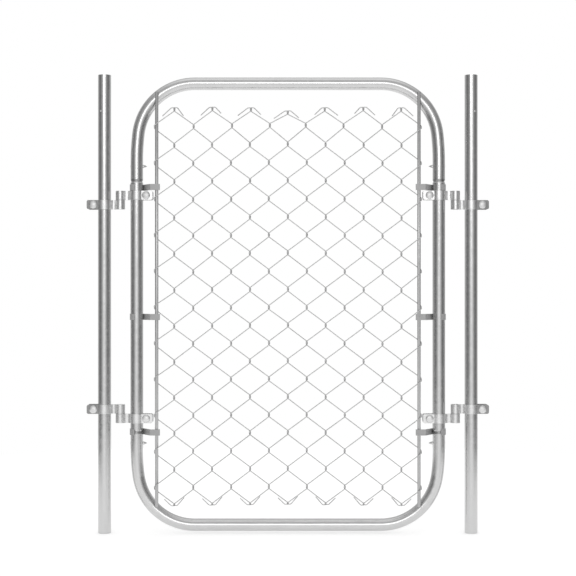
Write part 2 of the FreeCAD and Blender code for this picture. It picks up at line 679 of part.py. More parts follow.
def make_fabric(label):
    """All the wires of the mesh, hooked into each other and round the tension bars."""
    radius = value("wire_diameter / 2")
    first = value(f"{HINGE_BAR_X} - column_outset")
    last = value(f"{KEEPER_BAR_X} + column_outset")
    wires = 2 * round((last - first) / value("diamond_width"))
    spacing = (last - first) / wires
    mesh_height = value("frame_rise - mesh_foot_rise - mesh_head_drop")
    rows = round(mesh_height / value("diamond_height"))
    wrap = value("bar_width / 2 + link_gap + wire_diameter / 2")
    sizes = {
        "columns": [first + spacing * k for k in range(wires + 1)],
        "rows": rows,
        "pitch": mesh_height / rows,
        "foot": value("rail_height + mesh_foot_rise"),
        "rise": value("link_rise"),
        "hook": value("(wire_diameter + link_gap) / 2"),
        "depth": value("(wire_diameter + link_gap) / 2"),
        "wrap_depth": value("bar_thickness / 2 + bar_wrap_gap + wire_diameter / 2"),
        "wrap_left": value(HINGE_BAR_X) - wrap,
        "wrap_right": value(KEEPER_BAR_X) + wrap,
        "deeper": value("knuckle_gap"),
        "flat": value("knuckle_flat"),
        "tail": value("tail_reach"),
        "drop": value("tail_drop"),
    }
    routes = [wire_route(number, wires, sizes) for number in range(wires)]
    solids = [round_wire(route, radius) for route in routes]
    fabric = doc.addObject("Part::Feature", label)
    fabric.Label = label
    fabric.Shape = Part.makeCompound(solids)
    fabric.Placement = FreeCAD.Placement(Vector(0, value(BAR_Y), 0), FreeCAD.Rotation())
    nodes.append(fabric)


make_post("hinge_post", 0)
make_post("keeper_post", KEEPER_POST_X)
make_stile("hinge_stile", HINGE_STILE_X)
make_stile("keeper_stile", KEEPER_STILE_X)
make_bow("top_bow", UPPER_SEAM, "upper_leg", 1, "upper_screw_rise")
make_bow("bottom_bow", LOWER_SEAM, "lower_leg", -1, "lower_screw_drop")

for level, post_below in (("upper", True), ("lower", False)):
    for side, gap in (("hinge", "hinge_gap"), ("keeper", "keeper_gap")):
        above = f"({EYES_Z[level]} + {gap} / 2)"
        below = f"({EYES_Z[level]} - {gap} / 2 - strap_height)"
        post_z, frame_z = (below, above) if post_below else (above, below)
        hinge = side == "hinge"
        post_x = "0" if hinge else KEEPER_POST_X
        stile_x = HINGE_STILE_X if hinge else KEEPER_STILE_X
        outward = -1 if hinge else 1
        make_clamp(
            f"{level}_{side}_post_clamp",
            "post_diameter",
            "post_to_pivot",
            "post_ear_reach",
            "post_bolt_reach",
            post_x,
            post_z,
            turned=hinge,
        )
        make_bolt(
            f"{level}_{side}_post_bolt",
            f"{post_x} + {outward} * post_bolt_reach",
            f"{post_z} + strap_height / 2",
        )
        make_clamp(
            f"{level}_{side}_frame_clamp",
            "stile_diameter",
            "pivot_to_stile",
            "frame_ear_reach",
            "frame_bolt_reach",
            stile_x,
            frame_z,
            turned=not hinge,
        )
        make_bolt(
            f"{level}_{side}_frame_bolt",
            f"{stile_x} - {outward} * frame_bolt_reach",
            f"{frame_z} + strap_height / 2",
        )
make_pin("upper_hinge_pin", EYES_Z["upper"], 1)
make_pin("lower_hinge_pin", EYES_Z["lower"], -1)

for side, bar_x, stile_x, inward in (
    ("hinge", HINGE_BAR_X, HINGE_STILE_X, 1),
    ("keeper", KEEPER_BAR_X, KEEPER_STILE_X, -1),
):
    make_bar(f"{side}_tension_bar", bar_x)
    for level, height in CLIP_Z.items():
        make_clip(f"{level}_{side}_clip", stile_x, height, inward)
    make_screw(f"upper_{side}_screw", stile_x, UPPER_SCREW_Z, inward)
    make_screw(f"lower_{side}_screw", stile_x, LOWER_SCREW_Z, inward)
make_fabric("chain_link_fabric")

doc.recompute()
for thing in doc.Objects:
    if "Invalid" in thing.State or "Error" in thing.State:
        raise RuntimeError(f"{thing.Label} failed: {thing.State}")
for node in nodes:
    if node.Shape.isNull() or not node.Shape.isValid():
        raise RuntimeError(f"{node.Label} has no valid shape")

os.makedirs("parts", exist_ok=True)
for node in nodes:
    node.Shape.exportStep(os.path.join("parts", f"{node.Label}.step"))
    print(f"{node.Label}: {node.Shape.Volume:.0f} mm3, {len(node.Shape.Solids)} solid(s)")
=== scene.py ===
"""Finish, woven wires, bolts, light and camera of a chain link walk gate between two posts.

The tubes and pins keep the shapes of the frame and get worked zinc finishes. The clamps and
clips are its shapes with rounded edges. The wires, tension bars, bolts, screws and the rivets
in the posts are surfaces of their own. All lengths are in metres.
"""
import math

import bmesh
import bpy
import numpy as np
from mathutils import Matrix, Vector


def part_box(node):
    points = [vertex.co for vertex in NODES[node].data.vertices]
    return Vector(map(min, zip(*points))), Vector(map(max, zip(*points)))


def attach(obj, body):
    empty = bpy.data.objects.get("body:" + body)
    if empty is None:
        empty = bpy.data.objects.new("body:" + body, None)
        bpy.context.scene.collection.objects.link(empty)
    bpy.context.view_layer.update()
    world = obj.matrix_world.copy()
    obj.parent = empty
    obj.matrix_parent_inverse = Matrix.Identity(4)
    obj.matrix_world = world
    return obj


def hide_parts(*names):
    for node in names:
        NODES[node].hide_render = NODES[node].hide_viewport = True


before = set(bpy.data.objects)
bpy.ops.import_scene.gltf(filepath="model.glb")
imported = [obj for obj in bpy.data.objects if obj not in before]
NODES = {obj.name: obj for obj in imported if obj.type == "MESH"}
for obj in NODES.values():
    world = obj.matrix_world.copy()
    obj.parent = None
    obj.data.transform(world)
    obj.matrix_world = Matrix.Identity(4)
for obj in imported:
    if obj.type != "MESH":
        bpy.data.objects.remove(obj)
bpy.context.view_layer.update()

MM = 0.001
INCH = 25.4 * MM
TURN = 2 * math.pi
LEVELS = ("upper", "lower")
SIDES = ("hinge", "keeper")

# The weave of the wires.
WIRE_RADIUS = 1.3 * MM
WIRE_SIDES = 10
WIRES = 14
ROWS = 11
LINK_GAP = 0.3 * MM
LINK_RISE = 4 * MM
COLUMN_OUTSET = 3.7 * MM
BAR_WRAP_GAP = 0.8 * MM
FABRIC_FOOT = 76.3 * MM
FABRIC_HEAD = 1136.2 * MM
UNEVENNESS = 0.35 * MM
BEND_WINDOW = 5.5 * MM
BEND_REACH = 0.55
RINGS_AT_BEND = 7
ROUTE_STEP = 0.2 * MM
JITTER_SEED = 11

# Knuckles: the ends of two wires bent over each other at the top and the bottom of the mesh.
KNUCKLE_GAP = 0.15 * MM
KNUCKLE_FLAT = 9.5 * MM
FOOT_KNUCKLE_LIFT = 4.5 * MM
FOOT_TAILS = ((18.8 * MM, 18 * MM), (19 * MM, 22 * MM))

# The knuckles at the top, from the outer one to the middle one: how far each lies lower and
# nearer to the middle, and the width and height of its outer and its inner tail.
HEAD_KNUCKLES = np.array([
    (0.4, 0.7, 24.6, 22.6, 16.4, 22.2),
    (-0.2, 0.9, 23.5, 21.8, 15.9, 17.1),
    (2.8, 2.4, 27.6, 21.0, 19.1, 18.7),
    (12.0, 0.0, 29.5, 20.4, 22.0, 19.0),
]) * MM

# How far the links below the top knuckles are pulled up and to the middle, per column.
HEAD_PULL = (0, 0, 1.0 * MM, 0, 2.6 * MM, 0, 2.6 * MM)

# The hang of the mesh: its rows lie lower at the sides, but not at the bars, and the
# middle rows lie lower than they would at even spacing.
SIDE_SAG = 3.5 * MM
SAG_ACROSS = ((0, 0), (305 * MM, 1), (354 * MM, 0.15))
ROW_SHIFT = ((0, 3.3 * MM), (3.5, 3.3 * MM), (11, 0), (22, 2.3 * MM))

# Tension bars, rolled.
BAR_SIDES = 32
BAR_SQUARENESS = 2.3
BAR_BEVEL = 0.8 * MM
BAR_END_SHARE = 0.8

# Edges of the clamps and clips.
WELD_DISTANCE = 0.002 * MM
FLAT_ANGLE = math.radians(0.5)
EDGE_ANGLE = math.radians(35)
CLAMP_EDGE = 0.5 * MM
CLIP_EDGE = 0.3 * MM

# Carriage bolts with hexagon nuts.
BOLT_SIDES = 48
SHANK_RADIUS = 4.75 * MM
HEAD_RISE = 4.8 * MM
HEAD_RIM = 1.2 * MM
HEAD_EDGE = 0.3 * MM
DOME_SLOPES = np.radians(np.array([1, 20, 40, 55, 68, 80, 90]))
NECK_LENGTH = 6 * MM
NECK_CORNER = 1.3
NECK_SHOULDER = 0.4 * MM
NUT_FLATS = 14.3 * MM
NUT_DEPTH = 8 * MM
NUT_RINGS = np.array([0, 0.01, 0.1, 0.2, 0.5, 0.8, 0.9, 0.99, 1])
NUT_BEVEL_START = 0.98
NUT_BEVEL_SLOPE = 1.4
NUT_LIP = 0.3 * MM
BOLT_TAIL = 3 * MM
THREADED = 20 * MM
THREAD_PITCH = INCH / 16
THREAD_DEPTH = 0.75 * MM
THREAD_RINGS = 6
THREAD_END = 0.4 * MM

# Pointed screws with a hexagonal socket.
SCREW_POINT = 10 * MM
POINT_SHARPNESS = 1.5
POINT_RINGS = 14
POINT_SPACING = 0.7
TIP_RADIUS = 0.1 * MM
SCREW_EDGE = 0.5 * MM
SOCKET_FLATS = 4 * MM
SOCKET_DEPTH = 4 * MM

# The small rivet in the front of each post.
RIVET_SIDES = 16
RIVET_SLOPES = np.radians(np.array([0, 0, 25, 45, 65, 80, 89]))
RIVET_RADIUS = 2.7 * MM
RIVET_RISE = 1.3 * MM
RIVET_ROOT = 1 * MM
RIVET_DROP = 97.6 * MM
RIVET_ANGLE = math.radians(28.4)

# The frame's centre line is a rectangle with round corners. The posts' one is far taller.
CORNER_RADIUS = 0.152
POST_LOOP_REACH = 5

# Zinc: how far crystals, streaks and dull patches change its tone, roughness and height. The
# streaks' noise moves on this much per metre of tube.
CRYSTAL_WARP = 6 * MM
CRYSTAL_ROUGHNESS = 0.06
STREAK_STRETCH = 0.012
STREAK_RELIEF = 0.6
RELIEF_DEPTH = 0.4 * MM
DULL_TONE = 0.12
DULL_ROUGHNESS = 0.22

# The ring at a bow's cut end, dulled cut zinc darkened with painted shade in the seam, full up
# to one distance from it and gone at another.
RING_INSET = 2 * MM
RING_FULL = 2.6 * MM
RING_GONE = 4 * MM
RING_PAINTED_SHADE = -0.42
RING_ROUGHNESS = 0.05

# The outer ears of the post clamps are darkened with painted shade and made rougher: how far
# outside the posts' middles this starts, and over what length it fades in.
EAR_START = 10 * MM
EAR_FADE = 4 * MM
EAR_PAINTED_SHADE = -0.5
EAR_ROUGHNESS = 0.3

# The view of the photograph: level, from straight ahead.
CAMERA_PLACE = (0.4924, -3.6, 0.6575)
CAMERA_LENS = 83.8

# The floor and the lamp.
WHITE = (1, 1, 1, 1)
PALE = (0.8, 0.8, 0.8, 1)
FLOOR_RADIUS = 2.0
FLOOR_SIDES = 96
FLOOR_ROUGHNESS = 0.9
FLOOR_GLOW = 0.42
LAMP_PLACE = (CAMERA_PLACE[0], -12, 3.25)
LAMP_TILT = math.radians(90 - 14)
LAMP_WIDTH = 6.2
LAMP_HEIGHT = 2.0
LAMP_POWER = 109

# Greys of the studio: by degrees round from the camera's side to behind the gate, by degrees
# upward from level, and the degrees upward between which the second takes over.
STUDIO_AROUND = (
    (0, 0.97), (14, 0.95), (28, 0.62), (44, 0.38), (60, 0.21), (76, 0.185), (92, 0.25),
    (108, 0.38), (140, 0.75), (180, 1.0),
)
STUDIO_UPWARD = ((0, 1.0), (17, 0.8), (37, 0.43), (58, 0.76), (80, 1.1))
UPWARD_START = 8
UPWARD_FULL = 50


def centre_of(node):
    """The middle of a node's box."""
    low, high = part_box(node)
    return np.array((low + high) / 2)


def size_of(node):
    """The width, depth and height of a node's box."""
    low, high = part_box(node)
    return np.array(high) - np.array(low)


# Places in the frame.
BAR_WIDTH, BAR_DEPTH = size_of("hinge_tension_bar")[:2]
FABRIC_Y = centre_of("hinge_tension_bar")[1]
COLUMNS = np.linspace(
    centre_of("hinge_tension_bar")[0] - COLUMN_OUTSET,
    centre_of("keeper_tension_bar")[0] + COLUMN_OUTSET,
    WIRES + 1,
)
POSTS_MIDDLE = (centre_of("hinge_post") + centre_of("keeper_post")) / 2
POSTS_HALF = (abs(centre_of("keeper_post") - centre_of("hinge_post")) / 2)[0]
FRAME_HALF = (abs(centre_of("keeper_stile") - centre_of("hinge_stile")) / 2)[0]
FRAME_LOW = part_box("bottom_bow")[0][2]
FRAME_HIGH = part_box("top_bow")[1][2]
TUBE_RADIUS = size_of("top_bow")[1] / 2
TOP_BOW_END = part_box("top_bow")[0][2]
BOTTOM_BOW_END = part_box("bottom_bow")[1][2]

# The rectangles that the tubes follow: the middle, and half the width and height. The posts are
# the sides of theirs.
FRAME_LOOP = (
    (centre_of("top_bow")[0], 0, (FRAME_LOW + FRAME_HIGH) / 2),
    (FRAME_HALF, 0, (FRAME_HIGH - FRAME_LOW) / 2 - TUBE_RADIUS),
)
POST_LOOP = ((POSTS_MIDDLE[0], 0, 0), (POSTS_HALF, 0, POST_LOOP_REACH))


# Meshes


def add_piece(name, mesh, material, body, node=None):
    """An object that rides on a body, with one material, in place of a node if one is given."""
    piece = bpy.data.objects.new(name, mesh)
    bpy.context.scene.collection.objects.link(piece)
    mesh.materials.clear()
    mesh.materials.append(material)
    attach(piece, body)
    if node:
        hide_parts(node)
    return piece


def ring_mesh(name, tubes, sharp=40):
    """One mesh from closed tubes, each an array of rings of points (rings, sides, 3).

    Neighbouring points of neighbouring rings make a four-sided face, the last side joins the
    first, and the first and last ring are closed by one flat face each.
    """
    points, faces, start = [], [], 0
    for rings in tubes:
        count, sides = rings.shape[:2]
        index = start + np.arange(count * sides).reshape(count, sides)
        beside = np.roll(index, -1, axis=1)
        quads = np.stack([index[:-1], beside[:-1], beside[1:], index[1:]], axis=-1)
        faces += quads.reshape(-1, 4).tolist()
        faces += [index[0, ::-1].tolist(), index[-1].tolist()]
        points.append(rings.reshape(-1, 3))
        start += count * sides
    mesh = bpy.data.meshes.new(name)
    mesh.from_pydata(np.concatenate(points), [], faces)
    mesh.shade_smooth()
    mesh.set_sharp_from_angle(angle=math.radians(sharp))
    return mesh


def rounded_copy(node, body, material, width):
    """A node's shape with its corner points joined and its sharp edges rounded off."""
    mesh = NODES[node].data.copy()
    if "custom_normal" in mesh.attributes:
        mesh.attributes.remove(mesh.attributes["custom_normal"])
    work = bmesh.new()
    work.from_mesh(mesh)
    bmesh.ops.remove_doubles(work, verts=work.verts, dist=WELD_DISTANCE)
    bmesh.ops.dissolve_limit(
        work, angle_limit=FLAT_ANGLE, verts=work.verts, edges=work.edges
    )
    work.to_mesh(mesh)
    work.free()
    mesh.shade_smooth()
    mesh.set_sharp_from_angle(angle=EDGE_ANGLE)
    piece = add_piece(f"{node}_rounded", mesh, material, body, node)
    bevel = piece.modifiers.new("Rounded edges", "BEVEL")
    bevel.width = width
    bevel.segments = 2
    bevel.limit_method = "ANGLE"
    bevel.angle_limit = EDGE_ANGLE
    bevel.harden_normals = True


def wire_corners(number, jitter):
    """The corners of one wire's route, bottom to top, and back down at its knuckles.

    Each wire zigzags between two columns. Its bend at a column is one short run between two
    corners, two link rises apart in height and two hook depths apart in Y, so that each bend
    hooks round the bend of the next wire. Runs to the right lie in front and runs to the left
    behind. Past its last corner at the top and at the bottom the wire runs level inward and
    then slants back.
    """
    levels = np.arange(2 * ROWS + 1)
    at_right = (levels % 2 == 0) == (number % 2 == 0)
    side = np.where(at_right, 1, -1)
    column = number + at_right
    shift = jitter[column, levels]
    bar = (column == 0) | (column == WIRES)
    wrap_width = BAR_WIDTH / 2 + LINK_GAP + WIRE_RADIUS - COLUMN_OUTSET
    wrap_depth = BAR_DEPTH / 2 + BAR_WRAP_GAP + WIRE_RADIUS
    hook = WIRE_RADIUS + LINK_GAP / 2
    x = COLUMNS[column] + side * np.where(bar, wrap_width, hook) + shift[:, 0]
    depth = np.where(bar, wrap_depth, hook)
    z = FABRIC_FOOT + levels * (FABRIC_HEAD - FABRIC_FOOT) / (2 * ROWS) + shift[:, 1]
    sag = np.interp(abs(COLUMNS[column] - COLUMNS.mean()), *np.transpose(SAG_ACROSS))
    z += np.interp(levels, *np.transpose(ROW_SHIFT)) * ~bar - SIDE_SAG * sag
    inward = -side[0]
    outer = (side[0] > 0) == (column[0] <= WIRES // 2)
    head = HEAD_KNUCKLES[min(column[0], WIRES - column[0]) // 2]
    z[-1] -= head[0]
    x[-1] += head[1] * np.sign(WIRES // 2 - column[0])
    low = np.stack([x, -side * depth, z - LINK_RISE], axis=1)
    high = np.stack([x, side * depth, z + LINK_RISE], axis=1)
    low[0, 2] += FOOT_KNUCKLE_LIFT
    corners = np.stack([low, high], axis=1).reshape(-1, 3)
    flat = np.array([inward * KNUCKLE_FLAT, KNUCKLE_GAP * side[0], 0])
    across, drop = head[2:4] if outer else head[4:]
    top = corners[-1] + np.array([flat, flat + np.array([inward * across, 0, -drop])])
    across, rise = FOOT_TAILS[0 if outer else 1]
    flat[1] = -flat[1]
    bottom = corners[0] + np.array([flat + np.array([inward * across, 0, rise]), flat])
    route = np.concatenate([bottom, corners, top])
    route[:, 1] += FABRIC_Y
    return route


def rounded_route(corners, window):
    """Points and directions along a route of straight runs whose corners are rounded.

    The point at a length s is the mean of the straight route from s - window / 2 to
    s + window / 2, which is the change of the route's running sum over the window. The
    direction is the step between the window's ends. Rings stand close at each corner only.
    """
    steps = np.linalg.norm(np.diff(corners, axis=0), axis=1)
    length = np.concatenate([[0], np.cumsum(steps)])
    near = np.linspace(-BEND_REACH, BEND_REACH, RINGS_AT_BEND) * window
    places = (length[1:-1, None] + near).ravel()
    places = np.sort(np.concatenate([[0], places, length[-1:]]))
    fine = np.linspace(-window, length[-1] + window, int(length[-1] / ROUTE_STEP))
    straight = np.stack([np.interp(fine, length, corners[:, k]) for k in range(3)], axis=1)
    running = np.cumsum(straight, axis=0) * (fine[1] - fine[0])
    ahead, behind = places + window / 2, places - window / 2
    total = [np.interp(ahead, fine, running[:, k]) - np.interp(behind, fine, running[:, k])
             for k in range(3)]
    step = [np.interp(ahead, length, corners[:, k]) - np.interp(behind, length, corners[:, k])
            for k in range(3)]
    direction = np.stack(step, axis=1)
    direction /= np.linalg.norm(direction, axis=1, keepdims=True)
    return np.stack(total, axis=1) / window, direction


def wire_rings(corners):
    """A round profile carried along a route, square to it.

    A point is the route's point plus radius * (cos a * u - sin a * v), where u is the
    direction's cross product with Y and v is u crossed with the direction.
    """
    points, direction = rounded_route(corners, BEND_WINDOW)
    u = np.cross(direction, [0, 1, 0])
    u /= np.linalg.norm(u, axis=1, keepdims=True)
    v = np.cross(u, direction)
    angle = np.linspace(0, TURN, WIRE_SIDES, endpoint=False)
    circle = u[:, None] * np.cos(angle)[:, None] - v[:, None] * np.sin(angle)[:, None]
    return points[:, None] + WIRE_RADIUS * circle


def bar_rings(node):
    """A rolled bar as wide, deep and long as a node's box.

    Its section is |x / a| ** p + |y / b| ** p = 1, an oval that is a little square: with t
    round the section, x = a * sign(cos t) * |cos t| ** (2 / p) and y likewise with the sine.
    Both ends are drawn in by a small bevel.
    """
    low, high = (np.array(corner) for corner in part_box(node))
    middle, half = (low + high) / 2, (high - low) / 2
    t = np.linspace(0, TURN, BAR_SIDES, endpoint=False)
    x = half[0] * np.sign(np.cos(t)) * abs(np.cos(t)) ** (2 / BAR_SQUARENESS)
    y = half[1] * np.sign(np.sin(t)) * abs(np.sin(t)) ** (2 / BAR_SQUARENESS)
    z = np.array([low[2], low[2] + BAR_BEVEL, high[2] - BAR_BEVEL, high[2]])[:, None]
    share = np.array([BAR_END_SHARE, 1, 1, BAR_END_SHARE])[:, None]
    return np.stack([middle[0] + share * x, middle[1] + share * y, z + 0 * x], axis=-1)


def hexagon(angle, flats):
    """How far a hexagon's side is from its middle, at an angle: half its width across flats
    over the cosine of the angle from the nearest flat's middle."""
    sector = TURN / 6
    return flats / 2 / np.cos((angle + sector / 2) % sector - sector / 2)


def round_ring(y, radius):
    """One ring of a bolt: its place along Y and the same radius at every angle."""
    return y, np.full(BOLT_SIDES, radius)


def bolt_rings(head_face, head_diameter, ear_back, end):
    """The rings of a carriage bolt and its nut along Y, round an axis through the origin.

    The head is a low dome, an ellipse of the head's radius and rise over a short rim. Under it
    a square neck, then the plain shank. The thread's radius falls by its depth along each
    side of a triangle wave that climbs one pitch per turn. The nut is a hexagon cut at both
    ends by a cone.
    """
    angle = np.linspace(0, TURN, BOLT_SIDES, endpoint=False)
    head_radius = head_diameter / 2
    dome_y = head_face + (HEAD_RISE - HEAD_RIM) * (1 - np.cos(DOME_SLOPES))
    dome_radius = head_radius * np.sin(DOME_SLOPES)
    rows = [round_ring(y, radius) for y, radius in zip(dome_y, dome_radius)]
    seat = head_face + HEAD_RISE
    rows.append(round_ring(seat - HEAD_EDGE, head_radius))
    rows.append(round_ring(seat, head_radius - HEAD_EDGE))
    square = SHANK_RADIUS / np.maximum(abs(np.cos(angle)), abs(np.sin(angle)))
    square = np.minimum(square, SHANK_RADIUS * NECK_CORNER)
    rows += [(seat, square), (seat + NECK_LENGTH, square)]
    rows.append(round_ring(seat + NECK_LENGTH + NECK_SHOULDER, SHANK_RADIUS))
    thread_start = end - THREADED
    thread_y = np.arange(thread_start, end - THREAD_END, THREAD_PITCH / THREAD_RINGS)
    wave = abs(((thread_y[:, None] / THREAD_PITCH - angle / TURN) % 1) * 2 - 1)
    ease = np.clip((thread_y - thread_start) / THREAD_PITCH, 0, 1)[:, None]
    thread = SHANK_RADIUS - THREAD_DEPTH * wave * ease
    nut_end = ear_back + NUT_DEPTH
    before = thread_y < ear_back
    after = thread_y > nut_end
    rows += list(zip(thread_y[before], thread[before]))
    nut_y = ear_back + NUT_DEPTH * NUT_RINGS
    corner = NUT_FLATS / 2 / math.cos(TURN / 12)
    from_end = np.minimum(nut_y - ear_back, nut_end - nut_y)
    cone = NUT_FLATS / 2 * NUT_BEVEL_START + from_end * NUT_BEVEL_SLOPE
    nut = np.minimum(hexagon(angle, NUT_FLATS), np.minimum(cone, corner)[:, None])
    rows.append(round_ring(ear_back, SHANK_RADIUS))
    rows += list(zip(nut_y, nut))
    rows.append(round_ring(nut_end, SHANK_RADIUS + NUT_LIP))
    rows += list(zip(thread_y[after], thread[after]))
    rows.append(round_ring(end, SHANK_RADIUS - 2 * THREAD_DEPTH))
    y = np.array([row[0] for row in rows])[:, None]
    radius = np.array([row[1] for row in rows])
    return np.stack([radius * np.cos(angle), y + 0 * radius, -radius * np.sin(angle)], axis=-1)


def screw_rings(node, way):
    """A pointed screw as long and thick as a node's box, its point towards way along X.

    At a length s past the start of the point the radius is the screw's radius times
    1 - (s / point length) ** sharpness. The blunt end has a hexagonal socket.
    """
    low, high = (np.array(corner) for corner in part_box(node))
    radius, length = (high[2] - low[2]) / 2, high[0] - low[0]
    angle = np.linspace(0, TURN, BOLT_SIDES, endpoint=False)
    share = np.linspace(0, 1, POINT_RINGS) ** POINT_SPACING
    x = np.concatenate([[SOCKET_DEPTH, 0, 0, SCREW_EDGE], length - SCREW_POINT * (1 - share)])
    r = np.concatenate([[radius, radius, radius - SCREW_EDGE, radius],
                        np.maximum(radius * (1 - share**POINT_SHARPNESS), TIP_RADIUS)])
    r = r[:, None] + 0 * angle
    r[:2] = hexagon(angle, SOCKET_FLATS)
    middle = centre_of(node)
    start = low[0] if way > 0 else high[0]
    return np.stack([start + way * x[:, None] + 0 * r, middle[1] + way * r * np.cos(angle),
                     middle[2] + r * np.sin(angle)], axis=-1)


def rivet_rings(post, side):
    """A low dome on a post's front: radius times cosine and rise times sine of the slope,
    set on the tube's surface and turned with it about the post's axis."""
    angle = np.linspace(0, TURN, RIVET_SIDES, endpoint=False)
    radius = (RIVET_RADIUS * np.cos(RIVET_SLOPES))[:, None]
    out = RIVET_RISE * np.sin(RIVET_SLOPES)
    out[0] = -RIVET_ROOT
    low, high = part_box(post)
    turn = side * RIVET_ANGLE
    outward = np.array([math.sin(turn), -math.cos(turn), 0])
    along = np.array([math.cos(turn), math.sin(turn), 0])
    middle = np.array([centre_of(post)[0], 0, high[2] - RIVET_DROP])
    middle = middle + outward * (high[0] - low[0]) / 2
    flat = radius[..., None] * (
        np.cos(angle)[:, None] * along + np.sin(angle)[:, None] * np.array([0, 0, 1])
    )
    return middle + flat + out[:, None, None] * outward


# Node trees


def fill(tree, socket, source):
    """Join a socket to another one, or set its value."""
    if isinstance(source, bpy.types.NodeSocket):
        tree.links.new(source, socket)
    else:
        socket.default_value = source


def add_node(tree, kind, inputs=None, **settings):
    """A shader node with its settings made and its inputs joined or filled by name or number."""
    node = tree.nodes.new(kind)
    for key, setting in settings.items():
        setattr(node, key, setting)
    for key, source in (inputs or {}).items():
        fill(tree, node.inputs[key], source)
    return node


def calc(tree, operation, *sources):
    """The output of a Math node."""
    node = add_node(tree, "ShaderNodeMath", dict(enumerate(sources)), operation=operation)
    return node.outputs[0]


def vector_calc(tree, operation, *sources):
    """The output of a Vector Math node."""
    node = add_node(tree, "ShaderNodeVectorMath", dict(enumerate(sources)), operation=operation)
    return node.outputs["Vector"]


def mix(tree, share, first, second):
    """The output of a Mix Color node."""
    node = add_node(tree, "ShaderNodeMix", data_type="RGBA")
    fill(tree, node.inputs[0], share)
    fill(tree, node.inputs[6], first)
    fill(tree, node.inputs[7], second)
    return node.outputs[2]


def ramp(tree, source, stops):
    """A Color Ramp of greys: pairs of place and grey."""
    node = add_node(tree, "ShaderNodeValToRGB", {"Fac": source})
    elements = node.color_ramp.elements
    while len(elements) < len(stops):
        elements.new(0.5)
    for element, (place, grey) in zip(elements, stops):
        element.position = place
        element.color = (grey, grey, grey, 1)
    return node.outputs["Color"]


def new_group(name, inputs, outputs):
    """An empty node group with named inputs (kind and start value) and outputs (kind)."""
    tree = bpy.data.node_groups.new(name, "ShaderNodeTree")
    for label, (kind, start) in inputs.items():
        socket = tree.interface.new_socket(label, in_out="INPUT", socket_type=kind)
        if start is not None:
            socket.default_value = start
    for label, kind in outputs.items():
        tree.interface.new_socket(label, in_out="OUTPUT", socket_type=kind)
    entry = tree.nodes.new("NodeGroupInput").outputs
    leave = tree.nodes.new("NodeGroupOutput").inputs
    return tree, entry, leave


FLOAT, VECTOR = "NodeSocketFloat", "NodeSocketVector"


def spangle_group():
    """Zinc crystals: cells of even grey, warped a little, whose borders are shallow grooves."""
    tree, entry, leave = new_group(
        "Zinc spangle",
        {"Vector": (VECTOR, None), "Cells per metre": (FLOAT, 120)},
        {"Shade": FLOAT, "Relief": FLOAT},
    )
    warp = add_node(
        tree, "ShaderNodeTexNoise", {"Vector": entry["Vector"], "Scale": 60, "Detail": 3}
    )
    push = vector_calc(tree, "MULTIPLY", warp.outputs["Color"], (CRYSTAL_WARP,) * 3)
    place = vector_calc(tree, "ADD", entry["Vector"], push)
    scale = entry["Cells per metre"]
    cell = add_node(tree, "ShaderNodeTexVoronoi", {"Vector": place, "Scale": scale})
    parts = add_node(tree, "ShaderNodeSeparateColor", {"Color": cell.outputs["Color"]})
    fill(tree, leave["Shade"], parts.outputs["Red"])
    fill(tree, leave["Relief"], cell.outputs["Distance"])
    return tree


def streak_noise(tree, place, per_metre):
    """The grain that drawing and rolling leave, as noise over a vector."""
    noise = add_node(
        tree,
        "ShaderNodeTexNoise",
        {"Vector": place, "Scale": per_metre, "Detail": 4, "Roughness": 0.6},
    )
    return noise.outputs["Fac"]


def flat_streak_group():
    """Streaks of rolled strip, bar and wire: an even grain in every direction."""
    tree, entry, leave = new_group(
        "Rolled streaks",
        {"Vector": (VECTOR, None), "Streaks per metre": (FLOAT, 500)},
        {"Shade": FLOAT},
    )
    shade = streak_noise(tree, entry["Vector"], entry["Streaks per metre"])
    fill(tree, leave["Shade"], shade)
    return tree


def tube_streak_group():
    """Streaks along tube that follows a rectangle with round corners.

    The section is Y and the signed distance in X and Z to the rectangle's centre line: the
    length of what is left of the distances past the corners' centres, less the corner radius.
    Its noise is drawn out lengthwise, because it moves on slowly with X plus Z.
    """
    tree, entry, leave = new_group(
        "Drawn tube streaks",
        {
            "Vector": (VECTOR, None),
            "Middle": (VECTOR, None),
            "Half": (VECTOR, None),
            "Radius": (FLOAT, CORNER_RADIUS),
            "Streaks per metre": (FLOAT, 500),
        },
        {"Shade": FLOAT},
    )
    away = vector_calc(tree, "SUBTRACT", entry["Vector"], entry["Middle"])
    away = vector_calc(tree, "ABSOLUTE", away)
    past = vector_calc(tree, "SUBTRACT", away, entry["Half"])
    radius = add_node(tree, "ShaderNodeCombineXYZ", {"X": entry["Radius"], "Z": entry["Radius"]})
    past = vector_calc(tree, "ADD", past, radius.outputs["Vector"])
    parts = add_node(tree, "ShaderNodeSeparateXYZ", {"Vector": past})
    x, z = parts.outputs["X"], parts.outputs["Z"]
    beyond_x, beyond_z = calc(tree, "MAXIMUM", x, 0), calc(tree, "MAXIMUM", z, 0)
    square_x, square_z = calc(tree, "POWER", beyond_x, 2), calc(tree, "POWER", beyond_z, 2)
    reach = calc(tree, "SQRT", calc(tree, "ADD", square_x, square_z))
    inside = calc(tree, "MINIMUM", calc(tree, "MAXIMUM", x, z), 0)
    off = calc(tree, "SUBTRACT", calc(tree, "ADD", reach, inside), entry["Radius"])
    own = add_node(tree, "ShaderNodeSeparateXYZ", {"Vector": entry["Vector"]}).outputs
    along = calc(tree, "ADD", own["X"], own["Z"])
    slow = calc(tree, "MULTIPLY", along, STREAK_STRETCH)
    drawn = add_node(tree, "ShaderNodeCombineXYZ", {"X": off, "Y": own["Y"], "Z": slow})
    shade = streak_noise(tree, drawn.outputs["Vector"], entry["Streaks per metre"])
    fill(tree, leave["Shade"], shade)
    return tree


